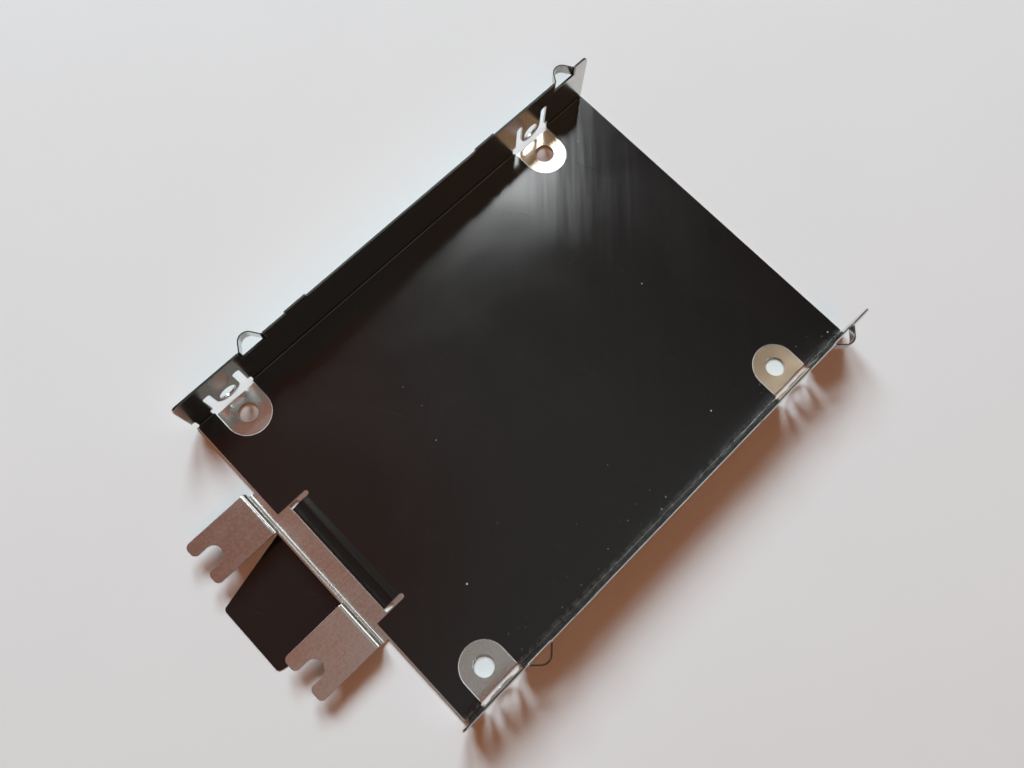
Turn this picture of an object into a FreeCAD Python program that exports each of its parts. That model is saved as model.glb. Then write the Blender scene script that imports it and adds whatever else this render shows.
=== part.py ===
"""Laptop hard drive caddy: a folded steel tray with a black insulating film.

Millimetres. The origin is the centre of the four drive screw holes, on the underside of the base.
+X points to the open end, where the drive's connector faces, and +Z is up.
"""
import FreeCAD, Part
import math
import os

from FreeCAD import Vector

# The 2.5-inch drive that the caddy is made for
DRIVE_WIDTH = 69.85
DRIVE_LENGTH = 100.2
SCREW_TO_CONNECTOR_END = 14.0
SCREW_TO_BLANK_END = 9.6
SCREW_PITCH_X = DRIVE_LENGTH - SCREW_TO_CONNECTOR_END - SCREW_TO_BLANK_END
SCREW_PITCH_Y = 61.72
SIDE_SCREW_HEIGHT = 3.0
SIDE_CLEARANCE = 0.2
END_CLEARANCE = 0.1

# Sheet of the tray
SHEET = 0.4
WALL_BEND_RADIUS = 0.2
RISER_BEND_RADIUS = 0.5
BASE_PAST_CONNECTOR = 0.65
BASE_SHORT_OF_DRIVE = 1.0
BASE_HOLE = 3.7

# Side walls, measured from the underside of the base
WALL_HEIGHT = 13.1
WALL_CORNER_RADIUS = 1.2
RIGHT_WALL_LEAN = math.radians(2)
LUG_FROM_MIDDLE = 22.7
LUG_LENGTH = 4.9
LUG_HEIGHT = 0.7
LUG_RADIUS = 0.3
RELIEF_LENGTH = 0.75
RELIEF_HEIGHT = 2.9
RELIEF_RADIUS = 0.35

# Screw tongues, each hanging in a window of the wall
SIDE_HOLE = 3.4
TONGUE_RING = 0.83
PRONG_WIDTH = 1.47
PRONG_RISE = 4.6
PRONG_RADIUS = 0.55
BAR_OVERHANG = 0.7
BAR_RISE = 1.6
BAR_INTO_BASE = 0.68

# Spring loops, lanced from the top of the walls and bowed outwards
LEFT_LOOP_FROM_NEAR_SCREW = 8.5
LEFT_LOOP_FROM_FAR_SCREW = 8.6
LEFT_LOOP_RISE = 2.35
LEFT_LOOP_SLOPE = math.radians(57)
RIGHT_LOOP_FROM_NEAR_SCREW = 8.2
RIGHT_LOOP_FROM_FAR_SCREW = 7.4
RIGHT_LOOP_RISE = 2.0
RIGHT_LOOP_SLOPE = math.radians(44)
LOOP_CREST_RADIUS = 1.7
LOOP_FOOT_RADIUS = 0.6
LOOP_THICKNESS = 0.22
LOOP_STRIP = 2.2
LOOP_SHEAR_GAP = 0.15

# Riser and forked ears at the pull end
EAR_HEIGHT = 4.0
EAR_REACH = 13.0
LEFT_EAR_EDGE = 18.85
LEFT_EAR_WIDTH = 8.85
RIGHT_EAR_EDGE = -16.2
RIGHT_EAR_WIDTH = 9.6
FORK_WIDTH = 3.45
FORK_DEPTH = 4.25
FORK_CORNER_RADIUS = 0.95

# Slot in the base for the film's tongue
SLOT_LENGTH = 25.5
SLOT_WIDTH = 1.8
SLOT_FROM_EDGE = 2.75
SLOT_RADIUS = 0.35

# Insulating film
FILM = 0.2
FILM_SIDE_MARGIN = 0.22
FILM_NEAR_MARGIN = 0.35
FILM_FAR_MARGIN = 0.05
FILM_CORNER_RADIUS = 0.2
PAD_RADIUS = 4.43
SLIT_WIDTH = 1.0
SLIT_LENGTH = 2.35

# Pull tab, the tapered end of the film's tongue
TAB_ROOT_WIDTH = 21.9
TAB_END_WIDTH = 14.2
TAB_PAST_EARS = 2.75
TAB_CORNER_RADIUS = 0.8
TAB_SIDE_CLEARANCE = 0.75
TAB_LIFT = 0.25
TAB_LIFT_RUN = 1.2
TAB_CREST_SETBACK = 0.45
TAB_FOOT_SETBACK = 0.3
TAB_BEND_RADIUS = 1.0

# Worked out from the sizes above
HOLE_X = SCREW_PITCH_X / 2
HOLE_Y = SCREW_PITCH_Y / 2
FAR_END = HOLE_X + SCREW_TO_CONNECTOR_END + BASE_PAST_CONNECTOR
DRIVE_NEAR_END = -HOLE_X - SCREW_TO_BLANK_END
NEAR_END = DRIVE_NEAR_END + BASE_SHORT_OF_DRIVE
RISER_FACE = DRIVE_NEAR_END - END_CLEARANCE
WALL_INNER = DRIVE_WIDTH / 2 + SIDE_CLEARANCE
WALL_OUTER = WALL_INNER + SHEET
WALL_MIDDLE = WALL_INNER + SHEET / 2
WALL_MIDDLE_BEND = WALL_BEND_RADIUS + SHEET / 2
RISER_MIDDLE_BEND = RISER_BEND_RADIUS + SHEET / 2
SIDE_HOLE_Z = SHEET + FILM + SIDE_SCREW_HEIGHT
EAR_TIP = RISER_FACE - EAR_REACH
SLOT_NEAR = NEAR_END + SLOT_FROM_EDGE
SLOT_FAR = SLOT_NEAR + SLOT_WIDTH
SLIT_END = SLOT_FAR + SLIT_LENGTH
TAB_WIDTH = SLOT_LENGTH - 2 * TAB_SIDE_CLEARANCE
CUT_PAST = 2.0
TINY = 1e-6


def on_plan(u, v):
    """A point of the plan view: X and Y."""
    return Vector(u, v, 0)


def on_side(u, v):
    """A point of the side view: X and Z."""
    return Vector(u, 0, v)


def on_section(u, v):
    """A point of the cross-section: Y and Z."""
    return Vector(0, u, v)


def corner_arc(before, at, after, radius):
    """Start, middle and end of the arc that rounds one corner."""
    back = (before - at).normalize()
    ahead = (after - at).normalize()
    half = back.getAngle(ahead) / 2
    reach = radius / math.tan(half)
    inward = (back + ahead).normalize()
    middle = at + inward * (radius / math.sin(half) - radius)
    return at + back * reach, middle, at + ahead * reach


def rounded_face(corners, place):
    """A flat face from corners (u, v, radius), where radius 0 leaves a corner sharp."""
    points = [place(u, v) for u, v, radius in corners]
    edges = []
    runs = []
    for i, (u, v, radius) in enumerate(corners):
        if radius > TINY:
            start, middle, end = corner_arc(points[i - 1], points[i], points[(i + 1) % len(points)], radius)
            edges.append(Part.Arc(start, middle, end).toShape())
            runs.append((start, end))
        else:
            runs.append((points[i], points[i]))
    for i, (start, end) in enumerate(runs):
        previous_end = runs[i - 1][1]
        if previous_end.distanceToPoint(start) > TINY:
            edges.append(Part.LineSegment(previous_end, start).toShape())
    return Part.Face(Part.Wire(Part.__sortEdges__(edges)))


def rectangle(low_u, low_v, high_u, high_v, radius=0.0):
    """Corners of a rectangle, all rounded alike."""
    return [(low_u, low_v, radius), (high_u, low_v, radius), (high_u, high_v, radius), (low_u, high_v, radius)]


def strip_corners(path, thickness):
    """Corners of a bent strip of even thickness; path holds (u, v, bend radius at mid-thickness)."""
    points = [Vector(u, v, 0) for u, v, radius in path]
    runs = [(b - a).normalize() for a, b in zip(points, points[1:])]
    left = []
    right = []
    for i, (u, v, radius) in enumerate(path):
        arrive = runs[max(i - 1, 0)]
        leave = runs[min(i, len(runs) - 1)]
        turn = arrive.x * leave.y - arrive.y * leave.x
        side = Vector(-arrive.y - leave.y, arrive.x + leave.x, 0)
        side = side * (thickness / 2 / (1 + arrive.dot(leave)))
        inside = math.copysign(thickness / 2, turn) if radius else 0.0
        left.append((u + side.x, v + side.y, radius - inside))
        right.append((u - side.x, v - side.y, radius + inside))
    return left + right[::-1]


def prism(face, low, high, along):
    """The face, which lies at 0 on the given axis, swept from low to high."""
    body = face.copy()
    body.translate(along * low)
    return body.extrude(along * (high - low))


def block(low, high):
    """A box between two opposite corners."""
    return Part.makeBox(high.x - low.x, high.y - low.y, high.z - low.z, low)


def upright_hole(x, y, diameter):
    """A round cutter through the base."""
    return Part.makeCylinder(diameter / 2, SHEET + 2 * CUT_PAST, Vector(x, y, -CUT_PAST))


def mirrored(shape):
    """The shape's twin on the -Y side."""
    return shape.mirror(Vector(0, 0, 0), Vector(0, 1, 0))


def on_right_wall(shape):
    """A shape made for the +Y wall, moved to the -Y wall and tipped inwards with it."""
    tipped = mirrored(shape)
    tipped.rotate(Vector(0, -WALL_MIDDLE, SHEET / 2), X_AXIS, -math.degrees(RIGHT_WALL_LEAN))
    return tipped


X_AXIS = Vector(1, 0, 0)
Y_AXIS = Vector(0, 1, 0)
Z_AXIS = Vector(0, 0, 1)


def side_outline():
    """The tray's outline from the side: wall ends with rounded tops and the two raised lugs."""
    middle = (NEAR_END + FAR_END) / 2
    top = [(NEAR_END, -CUT_PAST, 0), (NEAR_END, WALL_HEIGHT, WALL_CORNER_RADIUS)]
    for centre in (middle - LUG_FROM_MIDDLE, middle + LUG_FROM_MIDDLE):
        start = centre - LUG_LENGTH / 2
        end = centre + LUG_LENGTH / 2
        crest = WALL_HEIGHT + LUG_HEIGHT
        top += [(start, WALL_HEIGHT, LUG_RADIUS), (start, crest, LUG_RADIUS)]
        top += [(end, crest, LUG_RADIUS), (end, WALL_HEIGHT, LUG_RADIUS)]
    top += [(FAR_END, WALL_HEIGHT, WALL_CORNER_RADIUS), (FAR_END, -CUT_PAST, 0)]
    return rounded_face(top, on_side)


def channel():
    """Base and side walls, folded from one strip and trimmed to the side outline."""
    crest = WALL_HEIGHT + LUG_HEIGHT + CUT_PAST
    right_top = (crest - SHEET / 2) * math.tan(RIGHT_WALL_LEAN) - WALL_MIDDLE
    path = [(right_top, crest, 0), (-WALL_MIDDLE, SHEET / 2, WALL_MIDDLE_BEND),
            (WALL_MIDDLE, SHEET / 2, WALL_MIDDLE_BEND), (WALL_MIDDLE, crest, 0)]
    folded = prism(rounded_face(strip_corners(path, SHEET), on_section), NEAR_END, FAR_END, X_AXIS)
    reach = WALL_OUTER + CUT_PAST
    return folded.common(prism(side_outline(), -reach, reach, Y_AXIS))


def bend_relief():
    """The small cut that frees the wall from the base at the pull end."""
    outline = [(NEAR_END - CUT_PAST, -CUT_PAST, 0), (NEAR_END + RELIEF_LENGTH, -CUT_PAST, 0),
               (NEAR_END + RELIEF_LENGTH, RELIEF_HEIGHT, RELIEF_RADIUS),
               (NEAR_END - CUT_PAST, RELIEF_HEIGHT, 0)]
    return prism(rounded_face(outline, on_side), WALL_INNER - WALL_BEND_RADIUS, WALL_OUTER + CUT_PAST, Y_AXIS)


def tongue_window(x):
    """What is cut from a wall and its bend to leave one screw tongue with its hole."""
    half_tongue = SIDE_HOLE / 2 + TONGUE_RING
    half_window = half_tongue + PRONG_WIDTH
    half_bar = half_window + BAR_OVERHANG
    prong_top = SIDE_HOLE_Z + PRONG_RISE
    low = WALL_INNER - BAR_INTO_BASE
    high = WALL_OUTER + CUT_PAST
    lower = rectangle(x - half_window, -CUT_PAST, x + half_window, SIDE_HOLE_Z)
    bar = rectangle(x - half_bar, -CUT_PAST, x + half_bar, SHEET + BAR_RISE)
    cutter = prism(rounded_face(lower, on_side), low, high, Y_AXIS)
    cutter = cutter.fuse(prism(rounded_face(bar, on_side), low, high, Y_AXIS))
    tongue = Part.makeCylinder(half_tongue, high - low, Vector(x, low, SIDE_HOLE_Z), Y_AXIS)
    cutter = cutter.cut(tongue)
    for side in (-1, 1):
        edges = sorted((x + side * half_tongue, x + side * half_window))
        prong = [(edges[0], SIDE_HOLE_Z, 0), (edges[1], SIDE_HOLE_Z, 0),
                 (edges[1], prong_top, PRONG_RADIUS), (edges[0], prong_top, PRONG_RADIUS)]
        cutter = cutter.fuse(prism(rounded_face(prong, on_side), low, high, Y_AXIS))
    return cutter.fuse(Part.makeCylinder(SIDE_HOLE / 2, high - low, Vector(x, low, SIDE_HOLE_Z), Y_AXIS))


def loop_flank(rise, slope):
    """Length along the wall of one flank of a loop, from its foot to its apex."""
    return (rise + LOOP_CREST_RADIUS * (1 / math.cos(slope) - 1)) / math.tan(slope)


def loop_half_span(rise, slope):
    """Half the length of wall that a loop takes up."""
    return loop_flank(rise, slope) + LOOP_FOOT_RADIUS * math.tan(slope / 2)


def spring_loop(x, rise, slope):
    """One strip at the top of the +Y wall, bowed outwards between two short feet."""
    flank = loop_flank(rise, slope)
    half_span = loop_half_span(rise, slope)
    apex = WALL_MIDDLE + flank * math.tan(slope)
    path = [(x - half_span, WALL_MIDDLE, 0), (x - flank, WALL_MIDDLE, LOOP_FOOT_RADIUS),
            (x, apex, LOOP_CREST_RADIUS),
            (x + flank, WALL_MIDDLE, LOOP_FOOT_RADIUS), (x + half_span, WALL_MIDDLE, 0)]
    face = rounded_face(strip_corners(path, LOOP_THICKNESS), on_plan)
    return prism(face, WALL_HEIGHT - LOOP_STRIP, WALL_HEIGHT, Z_AXIS)


def loop_opening(x, rise, slope):
    """The piece of wall that a loop leaves open."""
    half_span = loop_half_span(rise, slope)
    floor = WALL_HEIGHT - LOOP_STRIP - LOOP_SHEAR_GAP
    return block(Vector(x - half_span, WALL_INNER - CUT_PAST, floor),
                 Vector(x + half_span, WALL_OUTER + CUT_PAST, WALL_HEIGHT + CUT_PAST))


def riser():
    """The upright lip at the pull end, as wide as both ears and the gap between them."""
    middle = RISER_FACE - SHEET / 2
    free_top = EAR_HEIGHT - RISER_BEND_RADIUS
    path = [(SLOT_NEAR, SHEET / 2, 0), (middle, SHEET / 2, RISER_MIDDLE_BEND), (middle, free_top, 0)]
    return prism(rounded_face(strip_corners(path, SHEET), on_side), RIGHT_EAR_EDGE, LEFT_EAR_EDGE, Y_AXIS)


def ear(low, high):
    """One forked ear, folded outwards at the top of the riser."""
    middle = RISER_FACE - SHEET / 2
    level = EAR_HEIGHT + SHEET / 2
    path = [(SLOT_NEAR, SHEET / 2, 0), (middle, SHEET / 2, RISER_MIDDLE_BEND),
            (middle, level, RISER_MIDDLE_BEND), (EAR_TIP, level, 0)]
    folded = prism(rounded_face(strip_corners(path, SHEET), on_side), low, high, Y_AXIS)
    fork_low = (low + high - FORK_WIDTH) / 2
    fork_high = fork_low + FORK_WIDTH
    fork_end = EAR_TIP + FORK_DEPTH
    outline = [(SLOT_NEAR, low, 0), (SLOT_NEAR, high, 0), (EAR_TIP, high, FORK_CORNER_RADIUS),
               (EAR_TIP, fork_high, FORK_CORNER_RADIUS), (fork_end, fork_high, FORK_WIDTH / 2),
               (fork_end, fork_low, FORK_WIDTH / 2), (EAR_TIP, fork_low, FORK_CORNER_RADIUS),
               (EAR_TIP, low, FORK_CORNER_RADIUS)]
    trim = prism(rounded_face(outline, on_plan), -CUT_PAST, EAR_HEIGHT + SHEET + CUT_PAST, Z_AXIS)
    return folded.common(trim)


def tab_slot():
    """The slot in the base that the film's tongue goes through."""
    outline = rectangle(SLOT_NEAR, -SLOT_LENGTH / 2, SLOT_FAR, SLOT_LENGTH / 2, SLOT_RADIUS)
    return prism(rounded_face(outline, on_plan), -CUT_PAST, SHEET + CUT_PAST, Z_AXIS)


def tray():
    """The whole folded tray."""
    cuts = [bend_relief(), on_right_wall(bend_relief()), tab_slot()]
    added = [riser(), ear(LEFT_EAR_EDGE - LEFT_EAR_WIDTH, LEFT_EAR_EDGE),
             ear(RIGHT_EAR_EDGE, RIGHT_EAR_EDGE + RIGHT_EAR_WIDTH)]
    for x in (-HOLE_X, HOLE_X):
        cuts += [tongue_window(x), on_right_wall(tongue_window(x))]
        cuts += [upright_hole(x, y, BASE_HOLE) for y in (-HOLE_Y, HOLE_Y)]
    for x in (-HOLE_X + LEFT_LOOP_FROM_NEAR_SCREW, HOLE_X + LEFT_LOOP_FROM_FAR_SCREW):
        cuts.append(loop_opening(x, LEFT_LOOP_RISE, LEFT_LOOP_SLOPE))
        added.append(spring_loop(x, LEFT_LOOP_RISE, LEFT_LOOP_SLOPE))
    for x in (-HOLE_X + RIGHT_LOOP_FROM_NEAR_SCREW, HOLE_X + RIGHT_LOOP_FROM_FAR_SCREW):
        cuts.append(on_right_wall(loop_opening(x, RIGHT_LOOP_RISE, RIGHT_LOOP_SLOPE)))
        added.append(on_right_wall(spring_loop(x, RIGHT_LOOP_RISE, RIGHT_LOOP_SLOPE)))
    return channel().cut(cuts).fuse(added).removeSplitter()


def film_pad(x):
    """The D-shaped piece left out of the film round one base hole."""
    outline = rectangle(x - PAD_RADIUS, HOLE_Y, x + PAD_RADIUS, WALL_INNER)
    cutter = prism(rounded_face(outline, on_plan), SHEET - CUT_PAST, SHEET + CUT_PAST, Z_AXIS)
    round_end = Part.makeCylinder(PAD_RADIUS, 2 * CUT_PAST, Vector(x, HOLE_Y, SHEET - CUT_PAST))
    return cutter.fuse(round_end)


def film_slit(side):
    """The slit that frees one side of the tongue from the film."""
    near = NEAR_END - CUT_PAST
    inner = side * TAB_WIDTH / 2
    outer = side * (TAB_WIDTH / 2 + SLIT_WIDTH)
    round_end = SLIT_WIDTH / 2
    outline = [(near, inner, 0), (near, outer, 0), (SLIT_END, outer, round_end), (SLIT_END, inner, round_end)]
    return prism(rounded_face(outline, on_plan), SHEET - CUT_PAST, SHEET + CUT_PAST, Z_AXIS)


def film_sheet():
    """The flat of the film, without the tongue."""
    half_width = WALL_INNER - FILM_SIDE_MARGIN
    outline = rectangle(NEAR_END + FILM_NEAR_MARGIN, -half_width, FAR_END - FILM_FAR_MARGIN, half_width,
                        FILM_CORNER_RADIUS)
    sheet = prism(rounded_face(outline, on_plan), SHEET, SHEET + FILM, Z_AXIS)
    cuts = [film_slit(-1), film_slit(1)]
    cuts.append(block(Vector(NEAR_END - CUT_PAST, -TAB_WIDTH / 2, SHEET - CUT_PAST),
                      Vector(SLIT_END - SLIT_WIDTH / 2, TAB_WIDTH / 2, SHEET + CUT_PAST)))
    for x in (-HOLE_X, HOLE_X):
        cuts += [film_pad(x), mirrored(film_pad(x))]
    return sheet.cut(cuts)


def pull_tab():
    """The film's tongue: up over the edge of the slot, down through it and out under the base."""
    root = SLIT_END - SLIT_WIDTH / 2
    level = SHEET + FILM / 2
    end = EAR_TIP - TAB_PAST_EARS
    crest = SLOT_FAR + TAB_CREST_SETBACK
    path = [(root, level, 0), (crest + TAB_LIFT_RUN, level, TAB_BEND_RADIUS),
            (crest, level + TAB_LIFT, TAB_BEND_RADIUS),
            (SLOT_NEAR + TAB_FOOT_SETBACK, -FILM / 2, TAB_BEND_RADIUS), (end, -FILM / 2, 0)]
    half = TAB_WIDTH / 2
    strip = prism(rounded_face(strip_corners(path, FILM), on_side), -half, half, Y_AXIS)
    half_root = TAB_ROOT_WIDTH / 2
    half_end = TAB_END_WIDTH / 2
    outline = [(root, -half, 0), (root, half, 0), (SLOT_NEAR, half, 0), (NEAR_END, half_root, 0),
               (end, half_end, TAB_CORNER_RADIUS), (end, -half_end, TAB_CORNER_RADIUS),
               (NEAR_END, -half_root, 0), (SLOT_NEAR, -half, 0)]
    return strip.common(prism(rounded_face(outline, on_plan), -CUT_PAST, SHEET + CUT_PAST, Z_AXIS))


def insulating_film():
    """The whole film."""
    return film_sheet().fuse(pull_tab()).removeSplitter()


def main():
    """Build both pieces and write them out."""
    os.makedirs("parts", exist_ok=True)
    for name, shape in (("tray", tray()), ("insulating_film", insulating_film())):
        shape.exportStep("parts/" + name + ".step")
        box = shape.BoundBox
        print(name, "solids", len(shape.Solids), "valid", shape.isValid(), "volume", round(shape.Volume, 2),
              "size", round(box.XLength, 2), round(box.YLength, 2), round(box.ZLength, 2))


main()
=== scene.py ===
"""Looks of a laptop hard drive caddy: bright folded sheet steel lined with glossy black film."""

import math

import bpy
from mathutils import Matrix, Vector


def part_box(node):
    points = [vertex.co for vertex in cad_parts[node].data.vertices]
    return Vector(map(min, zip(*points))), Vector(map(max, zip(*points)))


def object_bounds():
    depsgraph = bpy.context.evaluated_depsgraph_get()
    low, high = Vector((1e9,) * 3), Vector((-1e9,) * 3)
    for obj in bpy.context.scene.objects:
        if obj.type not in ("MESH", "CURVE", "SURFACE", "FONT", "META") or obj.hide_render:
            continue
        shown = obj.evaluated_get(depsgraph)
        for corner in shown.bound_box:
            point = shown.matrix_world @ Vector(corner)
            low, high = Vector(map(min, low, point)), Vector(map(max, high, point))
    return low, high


bl_info = {
    "name": "Laptop drive caddy looks",
    "version": (1, 0, 0),
    "blender": (4, 5, 0),
    "location": "3D View > Sidebar > Caddy",
    "description": "Finishes the steel tray and its black film liner, and sets the table, lamps and camera",
    "category": "Object",
}

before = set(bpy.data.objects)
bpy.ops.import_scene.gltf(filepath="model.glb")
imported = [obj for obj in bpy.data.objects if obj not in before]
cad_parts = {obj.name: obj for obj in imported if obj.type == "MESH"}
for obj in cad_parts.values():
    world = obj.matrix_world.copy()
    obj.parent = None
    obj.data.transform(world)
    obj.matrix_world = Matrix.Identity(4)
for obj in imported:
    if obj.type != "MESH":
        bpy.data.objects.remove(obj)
CAD_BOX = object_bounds()
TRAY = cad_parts["tray"]
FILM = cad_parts["insulating_film"]
TABLE_HEIGHT = CAD_BOX[0].z

# Places on the caddy, in millimetres
MM = 1000.0
FILM_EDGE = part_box("insulating_film")[1].y * MM
BASE_HOLE = (38.3, 30.86)
CUT_OUT_RADIUS = 4.43
EAR_LENGTH = 13.0
EAR_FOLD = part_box("tray")[0].x * MM + EAR_LENGTH
EAR_SPAN = (-12.0, 14.0)
STAIN_REACH = (15.0, 34.0)
BASE_TOP = (0.3, 0.5)
FOLD_RISE = (0.3, 0.9)
WALL_TOP_FROM = 8.0

# Lines on the steel, in millimetres outwards from the film's edge or from a cut-out's round end: painted
# shade in the folds, a strip of the near wall's top left out of the painted shade, and painted highlight
# rims
FOLD_SHADE_EDGES = (-0.02, 0.26)
BRIGHT_STRIP = (0.42, 0.64)
RIM_EDGES = (-0.17, 0.05)

# How far the near wall leans in for its height, and how far up the normal of a sheared top points
NEAR_WALL_LEAN = 0.0345
SHEARED_FACING = 0.7

# How far the rounded normal agrees with the plain one, from the sheet's flat to its edge
EDGE_AGREEMENT = (0.985, 0.85)
EDGE_SAMPLES = 6

# Texture of the steel
ROLLING_STRETCH = (0.15, 4.0, 4.0)
GRAIN_SHARE = 0.35
TEXTURE_CONTRAST = (0.3, 0.7)
LINE_DEPTH = 0.4

# How strong each mark on the steel is, from 0 to 1, painted shade and painted light among them
FAR_FOLD_SHADE = 0.45
NEAR_FOLD_SHADE = 0.15
FAR_STAIN = 0.85
FAR_RUBBING = 0.35
EAR_LIGHT_SHIFT = 0.4
HAZE_TINT = 0.3
LINE_TINT = 0.15
EDGE_TINT = 0.6
PAINTED_SHADE_TINT = 0.97

# What each mark adds to the steel's roughness
GRAIN_DULLS = 0.05
EDGE_DULLS = 0.25
RUBBING_DULLS = 0.14
RIM_DULLS = 0.32
SHEARING_DULLS = 0.3

# Marks on the film: widths in millimetres from the near wall, and shares from 0 to 1
SWEPT_WIDTH = 6.0
SWEPT_SHARE = 0.5
SCUFF_WIDTH = 1.0
SCUFF_SHARE = 0.11
MOTE_SHARE = 0.3
FILM_LINE_TINT = 0.012
SPECK_ROUGHNESS = 0.7

# Ripples of the film, drawn out along one line
RIPPLE_TURN = math.radians(-46)
RIPPLE_STRETCH = (0.02, 0.3, 0.3)
RIPPLE_HEIGHT = 0.3

# The value that a cloudy texture varies about
NOISE_MIDDLE = 0.5

# Table: sizes in metres, how many flats make its curves, and the darker part of its mottle
TABLE_RADIUS = 2.4
TABLE_WALL = 0.6
TABLE_CURVE = 0.35
CURVE_STEPS = 12
TABLE_SIDES = 96
MOTTLE_SHADE = 0.965

# Lamps: azimuth and elevation in degrees, distance and sizes in metres
KEY_AZIMUTHS = {"right_key_lamp": 47, "left_key_lamp": 76}
KEY_ELEVATION = 49.5
KEY_DISTANCE = 1.5
KEY_SIZE = (0.312, 0.634)
FILL_PLACE = (240, 55, 2.2)
FILL_SIZE = (1.2, 0.9)
CARD_PLACE = (8, 30, 1.2)
CARD_SIZE = (0.7, 0.42)

# Room: heights as sines, and patches as azimuth, elevation and the cosines at their edge and core
CEILING_RISE = (0.86, 0.985)
WALL_FALL = (0.8, 0.62)
HIGH_WALL_SHARE = 0.3
WARM_PATCH = (125, 68, 0.915, 0.975)
NEAR_PATCH = (298, 64, 0.945, 0.985)
AMBER_PATCH = (319, 57.5, 0.975, 0.995)

# Camera: its sensor in millimetres, and the nearest distance that it sees in metres
SENSOR_WIDTH = 36.0
NEAREST_SEEN = 0.005


class CaddySteel(bpy.types.PropertyGroup):
    """Finish of the folded tray."""
    pale: bpy.props.FloatVectorProperty(
        name="Pale tone", description="Lighter tone of the rolled sheet", subtype="COLOR", size=3,
        min=0.0, max=1.0, default=(0.70, 0.68, 0.655))
    deep: bpy.props.FloatVectorProperty(
        name="Deep tone", description="Darker tone between the rolling lines", subtype="COLOR", size=3,
        min=0.0, max=1.0, default=(0.48, 0.46, 0.435))
    stained: bpy.props.FloatVectorProperty(
        name="Stained tone", description="Tone of the pads at the open end", subtype="COLOR", size=3,
        min=0.0, max=1.0, default=(0.59, 0.44, 0.31))
    hairline: bpy.props.FloatVectorProperty(
        name="Hairline tone", description="Tone of the fine scratches", subtype="COLOR", size=3,
        min=0.0, max=1.0, default=(0.8, 0.79, 0.77))
    # Tone of the painted highlight rims round the cut-outs
    rim: bpy.props.FloatVectorProperty(
        name="Rim tone", description="Tone of the thin rims round the cut-outs", subtype="COLOR", size=3,
        min=0.0, max=1.0, default=(0.80, 0.77, 0.73))
    # Near-black tone of the painted shade on the torn wall tops and in the folds
    painted_shade: bpy.props.FloatVectorProperty(
        name="Dirt tone", description="Tone of torn edges and of dirt in the folds", subtype="COLOR", size=3,
        min=0.0, max=1.0, default=(0.02, 0.018, 0.016))
    smooth: bpy.props.FloatProperty(
        name="Smoothest", description="Roughness where the sheet is cleanest", subtype="FACTOR",
        min=0.0, max=1.0, default=0.12)
    handled: bpy.props.FloatProperty(
        name="Handled", description="Roughness where fingers have dulled the sheet", subtype="FACTOR",
        min=0.0, max=1.0, default=0.2)
    grain_depth: bpy.props.FloatProperty(
        name="Grain depth", description="Depth of the rolling lines", unit="LENGTH", precision=7,
        min=0.0, max=0.0001, default=0.0000002)
    edge_radius: bpy.props.FloatProperty(
        name="Edge radius", description="Radius that punching left on the sheet's edges", unit="LENGTH",
        precision=6, min=0.0, max=0.0002, default=0.00015)


class CaddyFilm(bpy.types.PropertyGroup):
    """Finish of the insulating film."""
    colour: bpy.props.FloatVectorProperty(
        name="Film", description="Colour of the black film", subtype="COLOR", size=3,
        min=0.0, max=1.0, default=(0.0080, 0.0081, 0.0083))
    dust: bpy.props.FloatVectorProperty(
        name="Dust", description="Colour of the specks of dust", subtype="COLOR", size=3,
        min=0.0, max=1.0, default=(0.42, 0.41, 0.39))
    gloss: bpy.props.FloatProperty(
        name="Glossiest", description="Roughness where the film is cleanest", subtype="FACTOR",
        min=0.0, max=1.0, default=0.12)
    dulled: bpy.props.FloatProperty(
        name="Dullest", description="Roughness where the film is rubbed", subtype="FACTOR",
        min=0.0, max=1.0, default=0.2)
    wave_height: bpy.props.FloatProperty(
        name="Wave height", description="Height of the slow waves in the film", unit="LENGTH", precision=6,
        min=0.0, max=0.001, default=0.00012)


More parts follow.
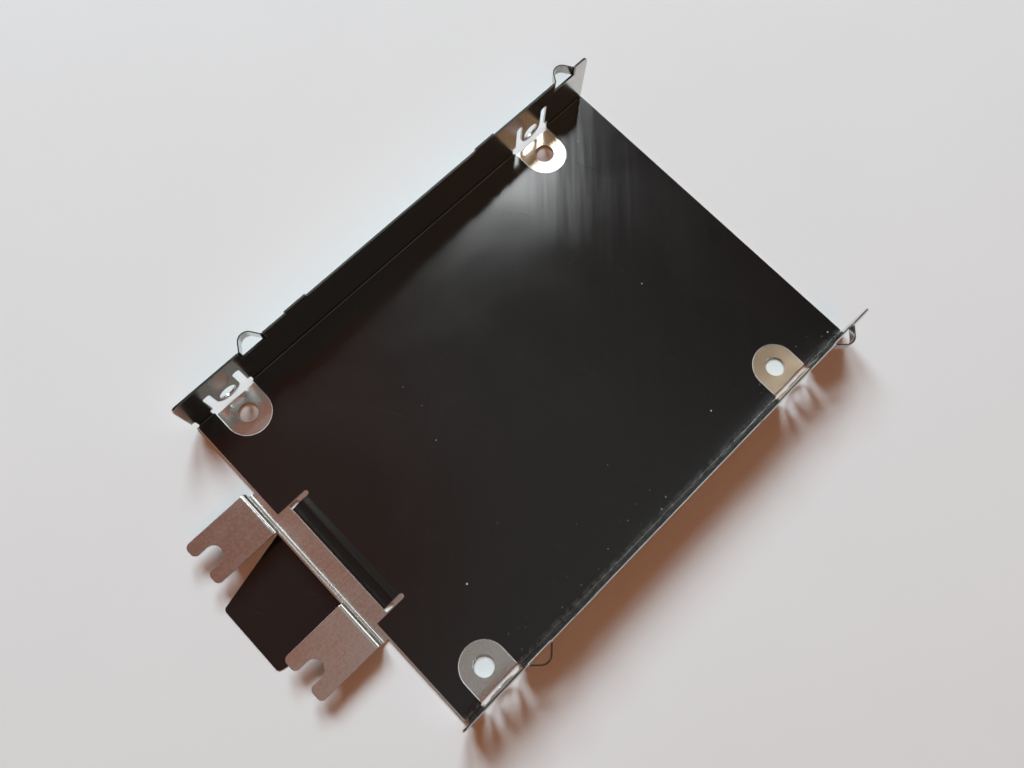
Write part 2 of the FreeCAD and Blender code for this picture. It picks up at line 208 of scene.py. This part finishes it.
class CaddyStage(bpy.types.PropertyGroup):
    """Table, lamps, room light and camera."""
    table: bpy.props.FloatVectorProperty(
        name="Table", description="Colour of the pale table", subtype="COLOR", size=3,
        min=0.0, max=1.0, default=(0.82, 0.82, 0.82))
    ceiling: bpy.props.FloatVectorProperty(
        name="Ceiling", description="Tone overhead as bright metal and film mirror it", subtype="COLOR",
        size=3, min=0.0, max=1.0, default=(0.395, 0.41, 0.405))
    overhead: bpy.props.FloatVectorProperty(
        name="Overhead", description="Soft warm light that falls from overhead", subtype="COLOR", size=3,
        min=0.0, max=1.0, default=(0.40, 0.26, 0.14))
    warm_side: bpy.props.FloatVectorProperty(
        name="Warm side", description="Soft light from the warm side of the room", subtype="COLOR", size=3,
        min=0.0, max=1.0, default=(0.36, 0.18, 0.137))
    low_walls: bpy.props.FloatVectorProperty(
        name="Low walls", description="Soft light from low down, all round", subtype="COLOR", size=3,
        min=0.0, max=1.0, default=(0.065, 0.016, 0.001))
    side_walls: bpy.props.FloatVectorProperty(
        name="Side walls", description="Tone of the room's walls as bright metal mirrors them",
        subtype="COLOR", size=3, min=0.0, max=1.0, default=(0.20, 0.186, 0.17))
    near_side: bpy.props.FloatVectorProperty(
        name="Near side", description="Tone over the near side that the far wall mirrors", subtype="COLOR",
        size=3, min=0.0, max=1.0, default=(0.42, 0.43, 0.43))
    amber_glow: bpy.props.FloatVectorProperty(
        name="Amber glow", description="Amber tone of the room that the far wall mirrors by its open end",
        subtype="COLOR", size=3, min=0.0, max=1.0, default=(0.54, 0.41, 0.29))
    key_colour: bpy.props.FloatVectorProperty(
        name="Key colour", description="Colour of the two main soft lamps", subtype="COLOR", size=3,
        min=0.0, max=1.0, default=(0.768, 0.93, 1.0))
    key_power: bpy.props.FloatProperty(
        name="Key power", description="Power of each main soft lamp", unit="POWER", min=0.0, default=11.72)
    fill_colour: bpy.props.FloatVectorProperty(
        name="Fill colour", description="Colour of the warm fill lamp", subtype="COLOR", size=3,
        min=0.0, max=1.0, default=(1.0, 0.25, 0.02))
    fill_power: bpy.props.FloatProperty(
        name="Fill power", description="Power of the warm fill lamp", unit="POWER", min=0.0, default=6.05)
    card_colour: bpy.props.FloatVectorProperty(
        name="Card colour", description="Colour of the low card past the open end", subtype="COLOR", size=3,
        min=0.0, max=1.0, default=(1.0, 1.0, 1.0))
    card_power: bpy.props.FloatProperty(
        name="Card power", description="Power of the low card past the open end", unit="POWER",
        min=0.0, default=2.3)
    camera_place: bpy.props.FloatVectorProperty(
        name="Camera place", description="Where the camera stands", subtype="XYZ", unit="LENGTH", size=3,
        default=(-0.031426, -0.022924, 0.149894))
    camera_turn: bpy.props.FloatVectorProperty(
        name="Camera turn", description="How the camera is turned", subtype="EULER", unit="ROTATION", size=3,
        default=(math.radians(14.7198), math.radians(-2.0857), math.radians(-44.5223)))
    camera_lens: bpy.props.FloatProperty(
        name="Lens", description="Focal length on a 36 mm sensor", unit="CAMERA", min=1.0, default=29.239)


def feed(tree, value, socket):
    """Links an input to a socket, or sets it to a plain value."""
    if isinstance(value, bpy.types.NodeSocket):
        tree.links.new(value, socket)
    else:
        socket.default_value = value


def make_node(tree, kind, inputs=None, **attributes):
    """A shader node with its attributes set and its inputs linked or set."""
    made = tree.nodes.new("ShaderNode" + kind)
    for name, value in attributes.items():
        setattr(made, name, value)
    for name, value in (inputs or {}).items():
        feed(tree, value, made.inputs[name])
    return made


def combine(tree, operation, first, second=0.0):
    """One maths step on sockets or numbers."""
    return make_node(tree, "Math", {0: first, 1: second}, operation=operation).outputs[0]


def add(tree, first, second):
    """The sum of two sockets or numbers."""
    return combine(tree, "ADD", first, second)


def multiply(tree, first, second):
    """The product of two sockets or numbers."""
    return combine(tree, "MULTIPLY", first, second)


def between(tree, value, low, high):
    """One where a value lies between two limits, and zero elsewhere."""
    return multiply(tree, combine(tree, "GREATER_THAN", value, low), combine(tree, "LESS_THAN", value, high))


def ramp(tree, value, start, end, low=0.0, high=1.0, kind="LINEAR"):
    """A number that goes from low to high while a value goes from start to end."""
    limits = {"Value": value, "From Min": start, "From Max": end, "To Min": low, "To Max": high}
    return make_node(tree, "MapRange", limits, interpolation_type=kind).outputs["Result"]


def split(tree, vector):
    """The X, Y and Z of a vector."""
    return make_node(tree, "SeparateXYZ", {0: vector}).outputs


def stretch(tree, vector, factors):
    """A vector with each of its parts times a factor."""
    return make_node(tree, "VectorMath", {0: vector, 1: factors}, operation="MULTIPLY").outputs["Vector"]


def turn_about_z(tree, vector, angle):
    """A vector turned about the upright axis."""
    return make_node(tree, "VectorRotate", {"Vector": vector, "Angle": angle},
                     rotation_type="Z_AXIS").outputs["Vector"]


def noise(tree, place, **settings):
    """A cloudy value from 0 to 1 at each place."""
    return make_node(tree, "TexNoise", {"Vector": place, **settings}).outputs["Fac"]


def bent_normal(tree, height, distance, normal=None):
    """A normal that a height bends, with the distance that a height of one stands for."""
    bump = make_node(tree, "Bump", {"Strength": 1.0, "Distance": distance, "Height": height})
    if normal is not None:
        feed(tree, normal, bump.inputs["Normal"])
    return bump.outputs["Normal"]


def blend_colour(tree, share, low, high):
    """A colour that goes from low to high with a share; low and high are colours or sockets."""
    mix = make_node(tree, "Mix", {"Factor": share}, data_type="RGBA")
    for value, socket in ((low, mix.inputs[6]), (high, mix.inputs[7])):
        feed(tree, value if isinstance(value, bpy.types.NodeSocket) else (*value, 1.0), socket)
    return mix.outputs[2]


def start_effect(name, inputs, output):
    """An empty node group for an effect that several finishes share."""
    group = bpy.data.node_groups.new(name, "ShaderNodeTree")
    group.interface.new_socket("Place", in_out="INPUT", socket_type="NodeSocketVector")
    for label, value in inputs.items():
        socket = group.interface.new_socket(label, in_out="INPUT", socket_type="NodeSocketFloat")
        socket.default_value = value
    group.interface.new_socket(output, in_out="OUTPUT", socket_type="NodeSocketFloat")
    given = group.nodes.new("NodeGroupInput").outputs
    result = group.nodes.new("NodeGroupOutput").inputs[output]
    return group, given, result


def dust_effect(name):
    """Sparse round specks, each of its own size."""
    tree, given, result = start_effect(name, {"Density": 0.4, "Share": 0.2, "Size": 0.1}, "Specks")
    cells = make_node(tree, "TexVoronoi", {"Vector": given["Place"], "Scale": given["Density"]},
                      voronoi_dimensions="3D", feature="F1").outputs
    pick = make_node(tree, "SeparateColor", {"Color": cells["Color"]}).outputs
    chosen = combine(tree, "LESS_THAN", pick["Red"], given["Share"])
    width = multiply(tree, pick["Green"], given["Size"])
    inside = combine(tree, "LESS_THAN", cells["Distance"], width)
    feed(tree, multiply(tree, chosen, inside), result)
    return tree


def haze_effect(name):
    """Soft patches where the surface has been touched."""
    tree, given, result = start_effect(name, {"Density": 0.06, "Softness": 0.25}, "Haze")
    cloud = noise(tree, given["Place"], Scale=given["Density"], Detail=3.0, Roughness=0.55, Distortion=0.6)
    low = combine(tree, "SUBTRACT", NOISE_MIDDLE, given["Softness"])
    high = add(tree, NOISE_MIDDLE, given["Softness"])
    feed(tree, ramp(tree, cloud, low, high, kind="SMOOTHSTEP"), result)
    return tree


def scratch_effect(name):
    """Fine hairlines that run roughly one way and break off."""
    tree, given, result = start_effect(name, {"Angle": 0.0, "Width": 0.01}, "Lines")
    gap_level, drawn_out = 0.56, (0.05, 0.9, 0.9)
    along = stretch(tree, turn_about_z(tree, given["Place"], given["Angle"]), drawn_out)
    paths = noise(tree, along, Scale=1.0, Detail=1.0, Distortion=0.3)
    away = combine(tree, "ABSOLUTE", combine(tree, "SUBTRACT", paths, NOISE_MIDDLE))
    line = combine(tree, "LESS_THAN", away, given["Width"])
    gaps = noise(tree, given["Place"], Scale=0.22, Detail=2.0)
    feed(tree, multiply(tree, line, combine(tree, "GREATER_THAN", gaps, gap_level)), result)
    return tree


def place_effect(tree, name, build, place, **values):
    """Puts a shared effect, built once, into a finish with its own values."""
    group = bpy.data.node_groups.get(name) or build(name)
    return make_node(tree, "Group", {"Place": place, **values}, node_tree=group).outputs[0]


def dust_specks(tree, place, **values):
    """Share of sparse specks of dust."""
    return place_effect(tree, "Dust specks", dust_effect, place, **values)


def handling_haze(tree, place, **values):
    """Share of soft patches left by handling."""
    return place_effect(tree, "Handling haze", haze_effect, place, **values)


def hairlines(tree, place, **values):
    """Share of fine scratches."""
    return place_effect(tree, "Hairlines", scratch_effect, place, **values)


def start_finish(name):
    """A new material with its shader's inputs and its place on the object in millimetres."""
    finish = bpy.data.materials.new(name)
    finish.use_nodes = True
    tree = finish.node_tree
    place = make_node(tree, "TexCoord").outputs["Object"]
    scaled = make_node(tree, "VectorMath", {0: place, "Scale": MM}, operation="SCALE").outputs["Vector"]
    return finish, tree, tree.nodes["Principled BSDF"].inputs, scaled


def rolled_texture(tree, place):
    """Fine lines along the tray with flecks between them."""
    grain = noise(tree, stretch(tree, place, ROLLING_STRETCH), Scale=1.0, Detail=4.0, Roughness=0.6)
    fleck = noise(tree, place, Scale=2.2, Detail=3.0, Roughness=0.65)
    return add(tree, multiply(tree, grain, GRAIN_SHARE), multiply(tree, fleck, 1.0 - GRAIN_SHARE))


def rounded_edges(tree, radius):
    """The normal with the sheet's edges rounded, and the share of those edges."""
    rounded = make_node(tree, "Bevel", {"Radius": radius}, samples=EDGE_SAMPLES).outputs["Normal"]
    plain = make_node(tree, "NewGeometry").outputs["Normal"]
    agree = make_node(tree, "VectorMath", {0: rounded, 1: plain}, operation="DOT_PRODUCT").outputs["Value"]
    return rounded, ramp(tree, agree, *EDGE_AGREEMENT)


def wall_tops(tree, place):
    """Shares of the sheared upper edges of the walls and loops, and of their part painted near black as
    painted shade for torn faces that turn away from the lamps.
    """
    aside = split(tree, place)
    upward = split(tree, make_node(tree, "NewGeometry").outputs["Normal"])["Z"]
    sheared = multiply(tree, combine(tree, "GREATER_THAN", upward, SHEARED_FACING),
                       combine(tree, "GREATER_THAN", aside["Z"], WALL_TOP_FROM))
    near = combine(tree, "LESS_THAN", aside["Y"], 0.0)
    lean = multiply(tree, near, multiply(tree, aside["Z"], NEAR_WALL_LEAN))
    outward = add(tree, combine(tree, "ABSOLUTE", aside["Y"]), lean)
    # A strip along the near wall's top is left out of the painted shade, so its plain steel catches the
    # lamps
    strip = between(tree, outward, FILM_EDGE + BRIGHT_STRIP[0], FILM_EDGE + BRIGHT_STRIP[1])
    torn_top_shade = combine(tree, "SUBTRACT", 1.0, multiply(tree, strip, near))
    return sheared, multiply(tree, sheared, torn_top_shade)


def fold_shade(tree, place):
    """Share of painted shade: a dark line in the folds along both walls, less of it on the near side, whose
    fold catches the light.
    """
    aside = split(tree, place)
    folds = []
    for side, share in ((1.0, FAR_FOLD_SHADE), (-1.0, NEAR_FOLD_SHADE)):
        outward = multiply(tree, aside["Y"], side)
        fold = between(tree, outward, FILM_EDGE + FOLD_SHADE_EDGES[0], FILM_EDGE + FOLD_SHADE_EDGES[1])
        folds.append(multiply(tree, fold, share))
    return multiply(tree, add(tree, *folds), between(tree, aside["Z"], *FOLD_RISE))


def cut_out_rims(tree, place):
    """Share of a painted highlight: a thin pale rim on the steel round each of the film's cut-outs, standing
    in for the light that the cut edges catch.
    """
    aside = split(tree, place)
    along = combine(tree, "SUBTRACT", combine(tree, "ABSOLUTE", aside["X"]), BASE_HOLE[0])
    across = combine(tree, "SUBTRACT", combine(tree, "ABSOLUTE", aside["Y"]), BASE_HOLE[1])
    inward = combine(tree, "MINIMUM", across, 0.0)
    squares = add(tree, multiply(tree, along, along), multiply(tree, inward, inward))
    away = combine(tree, "SQRT", squares)
    rims = between(tree, away, CUT_OUT_RADIUS + RIM_EDGES[0], CUT_OUT_RADIUS + RIM_EDGES[1])
    return multiply(tree, rims, between(tree, aside["Z"], *BASE_TOP))


def rubbed_pads(tree, place):
    """Shares of stain and of rubbing on the pads towards the open end, both most on the near side."""
    aside = split(tree, place)
    flat = multiply(tree, combine(tree, "LESS_THAN", aside["Z"], BASE_TOP[1]),
                    combine(tree, "LESS_THAN", combine(tree, "ABSOLUTE", aside["Y"]), FILM_EDGE))
    pads = multiply(tree, ramp(tree, aside["X"], *STAIN_REACH), flat)
    return [multiply(tree, pads, ramp(tree, aside["Y"], BASE_HOLE[1], -BASE_HOLE[1], far_share))
            for far_share in (FAR_STAIN, FAR_RUBBING)]


def ear_painted_light(tree, place):
    """Painted light on the ears: a shift of tone that makes them lighter at one side and darker at the
    other.
    """
    aside = split(tree, place)
    shift = ramp(tree, aside["Y"], *EAR_SPAN, EAR_LIGHT_SHIFT, -EAR_LIGHT_SHIFT)
    return multiply(tree, shift, combine(tree, "LESS_THAN", aside["X"], EAR_FOLD))


def steel_finish(look):
    """Rolled sheet steel: fine lines along the tray, soft patches, a few hairlines and dust."""
    finish, tree, shader, place = start_finish("bright_sheet_steel")
    texture = rolled_texture(tree, place)
    contrast = ramp(tree, texture, *TEXTURE_CONTRAST)
    haze = handling_haze(tree, place, Density=0.09, Softness=0.22)
    lines = hairlines(tree, place, Angle=0.5, Width=0.006)
    dust = dust_specks(tree, place, Density=0.35, Share=0.1, Size=0.05)
    rounded, edges = rounded_edges(tree, look.edge_radius)
    stain, rubbed = rubbed_pads(tree, place)
    rims = cut_out_rims(tree, place)
    sheared, torn_top_shade = wall_tops(tree, place)
    # Painted shade: near black on the torn wall tops and a dark line in the folds
    painted_shade = combine(tree, "MAXIMUM", torn_top_shade, fold_shade(tree, place))

    # Tone of the rolled sheet, with painted light on the ears
    tone = blend_colour(tree, add(tree, contrast, ear_painted_light(tree, place)), look.deep, look.pale)
    # Marks blended into the tone: the rims are a painted highlight, and the dark tone is painted shade
    tints = ((haze, HAZE_TINT, look.deep), (lines, LINE_TINT, look.hairline), (edges, EDGE_TINT, look.pale),
             (stain, 1.0, look.stained), (rims, 1.0, look.rim), (painted_shade, PAINTED_SHADE_TINT, look.painted_shade))
    for mark, share, colour in tints:
        tone = blend_colour(tree, multiply(tree, mark, share), tone, colour)
    feed(tree, tone, shader["Base Color"])
    feed(tree, combine(tree, "SUBTRACT", 1.0, dust), shader["Metallic"])

    rough = ramp(tree, haze, 0.0, 1.0, look.smooth, look.handled)
    for mark, added in ((contrast, GRAIN_DULLS), (edges, EDGE_DULLS), (rubbed, RUBBING_DULLS),
                        (rims, RIM_DULLS), (sheared, SHEARING_DULLS)):
        rough = add(tree, rough, multiply(tree, mark, added))
    feed(tree, rough, shader["Roughness"])

    height = combine(tree, "SUBTRACT", texture, multiply(tree, lines, LINE_DEPTH))
    feed(tree, bent_normal(tree, height, look.grain_depth, rounded), shader["Normal"])
    return finish


def film_specks(tree, place):
    """Share of dust: specks all over, more of them swept to the near wall, and scuffs in its fold."""
    across = split(tree, place)["Y"]
    specks = dust_specks(tree, place, Density=0.22, Share=0.3, Size=0.05)
    motes = dust_specks(tree, place, Density=0.6, Share=0.14, Size=0.07)
    swept = dust_specks(tree, place, Density=1.0, Share=0.4, Size=0.17)
    scuffs = handling_haze(tree, place, Density=0.9, Softness=0.16)
    by_wall = ramp(tree, across, SWEPT_WIDTH - FILM_EDGE, -FILM_EDGE, 0.0, SWEPT_SHARE)
    in_fold = ramp(tree, across, SCUFF_WIDTH - FILM_EDGE, -FILM_EDGE, 0.0, SCUFF_SHARE)
    for marks, share in ((motes, MOTE_SHARE), (swept, by_wall), (scuffs, in_fold)):
        specks = combine(tree, "MAXIMUM", specks, multiply(tree, marks, share))
    return specks


def film_waves(tree, place):
    """Height of the film's slow waves, with finer ripples drawn out along one line."""
    waves = noise(tree, place, Scale=0.045, Detail=1.0, Roughness=0.35, Distortion=0.4)
    drawn = stretch(tree, turn_about_z(tree, place, RIPPLE_TURN), RIPPLE_STRETCH)
    ripple = noise(tree, drawn, Scale=1.0, Detail=2.0, Roughness=0.5)
    return add(tree, waves, multiply(tree, ripple, RIPPLE_HEIGHT))


def film_finish(look):
    """Glossy black film: slow waves, rubbed patches, faint hairlines and specks of dust."""
    finish, tree, shader, place = start_finish("glossy_black_film")
    shader["IOR"].default_value = 1.5
    shader["Specular Tint"].default_value = (1.0, 0.86, 0.80, 1.0)
    haze = handling_haze(tree, place, Density=0.035, Softness=0.3)
    lines = hairlines(tree, place, Angle=1.1, Width=0.004)
    specks = film_specks(tree, place)
    tone = blend_colour(tree, multiply(tree, lines, FILM_LINE_TINT), look.colour, look.dust)
    feed(tree, blend_colour(tree, specks, tone, look.dust), shader["Base Color"])
    rough = ramp(tree, haze, 0.0, 1.0, look.gloss, look.dulled)
    rough = combine(tree, "MAXIMUM", rough, multiply(tree, specks, SPECK_ROUGHNESS))
    feed(tree, rough, shader["Roughness"])
    feed(tree, bent_normal(tree, film_waves(tree, place), look.wave_height), shader["Normal"])
    return finish


def table_finish(colour):
    """Smooth pale table top with a very faint mottle."""
    finish, tree, shader, place = start_finish("pale_table")
    mottle = noise(tree, place, Scale=0.03, Detail=4.0)
    shade = tuple(MOTTLE_SHADE * part for part in colour)
    feed(tree, blend_colour(tree, mottle, shade, colour), shader["Base Color"])
    shader["Roughness"].default_value = 0.85
    shader["Specular IOR Level"].default_value = 0.2
    return finish


def wear(node, finish):
    """Gives a node of the frame its finish."""
    node.data.materials.clear()
    node.data.materials.append(finish)


class CADDY_OT_finish_tray(bpy.types.Operator):
    """Finish the folded tray as bright sheet steel"""
    bl_idname = "caddy.finish_tray"
    bl_label = "Finish the tray"

    def execute(self, context):
        wear(TRAY, steel_finish(context.scene.caddy_steel))
        return {"FINISHED"}


class CADDY_OT_finish_film(bpy.types.Operator):
    """Finish the liner and its pull tab as glossy black film"""
    bl_idname = "caddy.finish_film"
    bl_label = "Finish the film"

    def execute(self, context):
        wear(FILM, film_finish(context.scene.caddy_film))
        return {"FINISHED"}


def add_object(name, data):
    """A new object in the scene."""
    made = bpy.data.objects.new(name, data)
    bpy.context.scene.collection.objects.link(made)
    return made


def table_profile():
    """Reach and height of each ring of the table, from the flat out over the curve to the wall's top."""
    flat = TABLE_RADIUS - TABLE_CURVE
    profile = [(flat, 0.0)]
    for i in range(1, CURVE_STEPS + 1):
        angle = math.pi / 2 * i / CURVE_STEPS
        profile.append((flat + TABLE_CURVE * math.sin(angle), TABLE_CURVE - TABLE_CURVE * math.cos(angle)))
    profile.append((TABLE_RADIUS, TABLE_WALL))
    return profile


def add_table(look):
    """A wide round table top that curves up into a low wall all round."""
    profile = table_profile()
    points = [(0.0, 0.0, TABLE_HEIGHT)]
    for reach, height in profile:
        for i in range(TABLE_SIDES):
            angle = 2 * math.pi * i / TABLE_SIDES
            points.append((reach * math.cos(angle), reach * math.sin(angle), TABLE_HEIGHT + height))
    faces = [(0, 1 + i, 1 + (i + 1) % TABLE_SIDES) for i in range(TABLE_SIDES)]
    for ring in range(len(profile) - 1):
        low = 1 + ring * TABLE_SIDES
        high = low + TABLE_SIDES
        for i in range(TABLE_SIDES):
            ahead = (i + 1) % TABLE_SIDES
            faces.append((low + i, high + i, high + ahead, low + ahead))
    mesh = bpy.data.meshes.new("table")
    mesh.from_pydata(points, [], faces)
    mesh.polygons.foreach_set("use_smooth", [True] * len(mesh.polygons))
    mesh.update()
    table = add_object("table", mesh)
    table.data.materials.append(table_finish(look.table))


def direction(azimuth, elevation, distance=1.0):
    """A point at a distance from the origin; azimuth is from +X towards +Y, in degrees."""
    turn, rise = math.radians(azimuth), math.radians(elevation)
    level = math.cos(rise)
    return Vector((math.cos(turn) * level, math.sin(turn) * level, math.sin(rise))) * distance


def add_lamp(name, place, size, power, colour):
    """A rectangular soft lamp that faces the origin."""
    lamp = bpy.data.lights.new(name, "AREA")
    lamp.shape = "RECTANGLE"
    lamp.size, lamp.size_y = size
    lamp.energy = power
    lamp.color = colour
    made = add_object(name, lamp)
    made.location = place
    made.rotation_euler = (-place).to_track_quat("-Z", "Y").to_euler()
    return made


def add_lamps(look):
    """Two main lamps side by side, a warm fill that isn't mirrored, and a card that is only mirrored."""
    for name, azimuth in KEY_AZIMUTHS.items():
        place = direction(azimuth, KEY_ELEVATION, KEY_DISTANCE)
        add_lamp(name, place, KEY_SIZE, look.key_power, look.key_colour)
    fill = add_lamp("warm_fill", direction(*FILL_PLACE), FILL_SIZE, look.fill_power, look.fill_colour)
    fill.visible_glossy = False
    card = add_lamp("gloss_card", direction(*CARD_PLACE), CARD_SIZE, look.card_power, look.card_colour)
    card.visible_diffuse = False


def soft_patch(tree, place, azimuth, elevation, edge, core):
    """Share of a round patch of the room; edge and core are cosines of the angle from its middle."""
    nearness = make_node(tree, "VectorMath", {0: place, 1: direction(azimuth, elevation)},
                         operation="DOT_PRODUCT").outputs["Value"]
    return ramp(tree, nearness, edge, core, kind="SMOOTHSTEP")


def room_light(look):
    """Soft light of a room, warm overhead and on one side and dim low down, with greyer tones in mirrors."""
    world = bpy.data.worlds.new("room")
    world.use_nodes = True
    tree = world.node_tree
    place = make_node(tree, "TexCoord").outputs["Generated"]
    height = split(tree, place)["Z"]
    mirrored = make_node(tree, "LightPath").outputs["Is Glossy Ray"]
    wall = ramp(tree, height, *WALL_FALL, HIGH_WALL_SHARE, kind="SMOOTHSTEP")
    tone = blend_colour(tree, multiply(tree, wall, mirrored), look.low_walls, look.side_walls)
    above = blend_colour(tree, mirrored, look.overhead, look.ceiling)
    tone = blend_colour(tree, ramp(tree, height, *CEILING_RISE, kind="SMOOTHSTEP"), tone, above)
    tone = blend_colour(tree, soft_patch(tree, place, *WARM_PATCH), tone, look.warm_side)
    for patch, colour in ((NEAR_PATCH, look.near_side), (AMBER_PATCH, look.amber_glow)):
        share = multiply(tree, soft_patch(tree, place, *patch), mirrored)
        tone = blend_colour(tree, share, tone, colour)
    feed(tree, tone, tree.nodes["Background"].inputs["Color"])
    return world


def add_camera(look):
    """The camera over the caddy."""
    camera = bpy.data.cameras.new("camera")
    camera.sensor_width = SENSOR_WIDTH
    camera.sensor_fit = "HORIZONTAL"
    camera.lens = look.camera_lens
    camera.clip_start = NEAREST_SEEN
    made = add_object("camera", camera)
    made.location = look.camera_place
    made.rotation_euler = look.camera_turn
    return made


class CADDY_OT_set_stage(bpy.types.Operator):
    """Set the table, the lamps, the room light and the camera"""
    bl_idname = "caddy.set_stage"
    bl_label = "Set the stage"

    def execute(self, context):
        scene = context.scene
        look = scene.caddy_stage
        add_table(look)
        add_lamps(look)
        scene.world = room_light(look)
        scene.view_settings.view_transform = "Standard"
        scene.camera = add_camera(look)
        return {"FINISHED"}


class CADDY_PT_looks(bpy.types.Panel):
    """Sizes and colours of the caddy's looks"""
    bl_idname = "CADDY_PT_looks"
    bl_label = "Drive caddy"
    bl_space_type = "VIEW_3D"
    bl_region_type = "UI"
    bl_category = "Caddy"

    def draw(self, context):
        for operator, group in ((CADDY_OT_finish_tray, "caddy_steel"), (CADDY_OT_finish_film, "caddy_film"),
                                (CADDY_OT_set_stage, "caddy_stage")):
            column = self.layout.box().column()
            column.operator(operator.bl_idname)
            settings = getattr(context.scene, group)
            for name in settings.__annotations__:
                column.prop(settings, name)


CLASSES = (CaddySteel, CaddyFilm, CaddyStage, CADDY_OT_finish_tray, CADDY_OT_finish_film, CADDY_OT_set_stage,
           CADDY_PT_looks)


def register():
    """Registers the classes and their settings."""
    for part in CLASSES:
        bpy.utils.register_class(part)
    bpy.types.Scene.caddy_steel = bpy.props.PointerProperty(type=CaddySteel)
    bpy.types.Scene.caddy_film = bpy.props.PointerProperty(type=CaddyFilm)
    bpy.types.Scene.caddy_stage = bpy.props.PointerProperty(type=CaddyStage)


def unregister():
    """Removes the settings and the classes."""
    del bpy.types.Scene.caddy_stage
    del bpy.types.Scene.caddy_film
    del bpy.types.Scene.caddy_steel
    for part in reversed(CLASSES):
        bpy.utils.unregister_class(part)


def main():
    """Makes every piece's finish and the stage."""
    register()
    bpy.ops.caddy.finish_tray()
    bpy.ops.caddy.finish_film()
    bpy.ops.caddy.set_stage()


if __name__ == "__main__":
    main()
